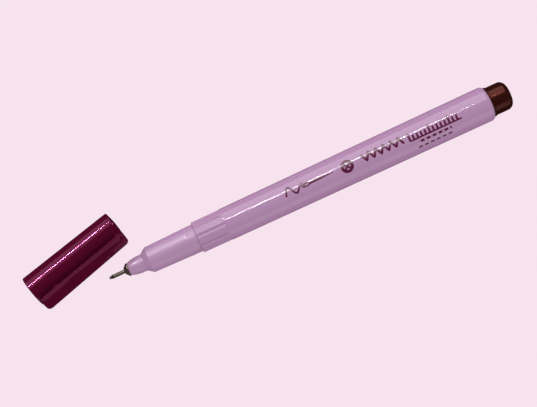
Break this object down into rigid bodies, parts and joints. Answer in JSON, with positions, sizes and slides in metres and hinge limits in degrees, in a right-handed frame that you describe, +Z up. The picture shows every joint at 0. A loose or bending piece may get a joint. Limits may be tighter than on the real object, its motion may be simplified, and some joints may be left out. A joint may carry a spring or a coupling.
{
  "type": "fabric marking pen",
  "caption": "Fine-line fabric marking pen with a needle-tube nib, lying uncapped, its clip cap beside the nose.",
  "frame": {"origin": "centre of the end plug's flat rear face", "axes": "+X along the pen's axis, out of the plug's rear face, away from the tip; +Z up from the surface that the pen lies on"},
  "size_m": [0.1554, 0.0235, 0.0122],
  "materials": {
    "lilac_body": "satin gloss moulded",
    "burgundy_cap": "satin gloss moulded",
    "brown_plug": "satin gloss moulded",
    "natural_liner": "satin",
    "tip_steel": "turned and drawn",
    "inked_nib": "inked",
    "reservoir_fibre": "inked fibre bundle",
    "clear_film": "clear film"
  },
  "bodies": {
    "pen": {"barrel": "lilac_body", "front_section": "lilac_body", "end_plug": "brown_plug", "nib_collar": "tip_steel", "needle_tube": "tip_steel", "nib": "inked_nib", "ink_reservoir": "reservoir_fibre", "reservoir_sleeve": "clear_film"},
    "cap": {"cap_shell": "burgundy_cap", "inner_cap": "natural_liner"},
    "clip": {"cap_clip": "burgundy_cap"}
  },
  "joints": [
    {"name": "cap_slide", "type": "slide", "parent": "pen", "child": "cap", "axis": [-0.9694, -0.2453, 0], "range_m": [0, 0.0286]},
    {"name": "clip_flex", "type": "hinge", "parent": "cap", "child": "clip", "pos_m": [-0.12388, 0.01001, 0.00261], "axis": [-0.1641, 0.6487, 0.7431], "range_deg": [0, 6], "stiffness_Nm_per_rad": 0.5}
  ]
}
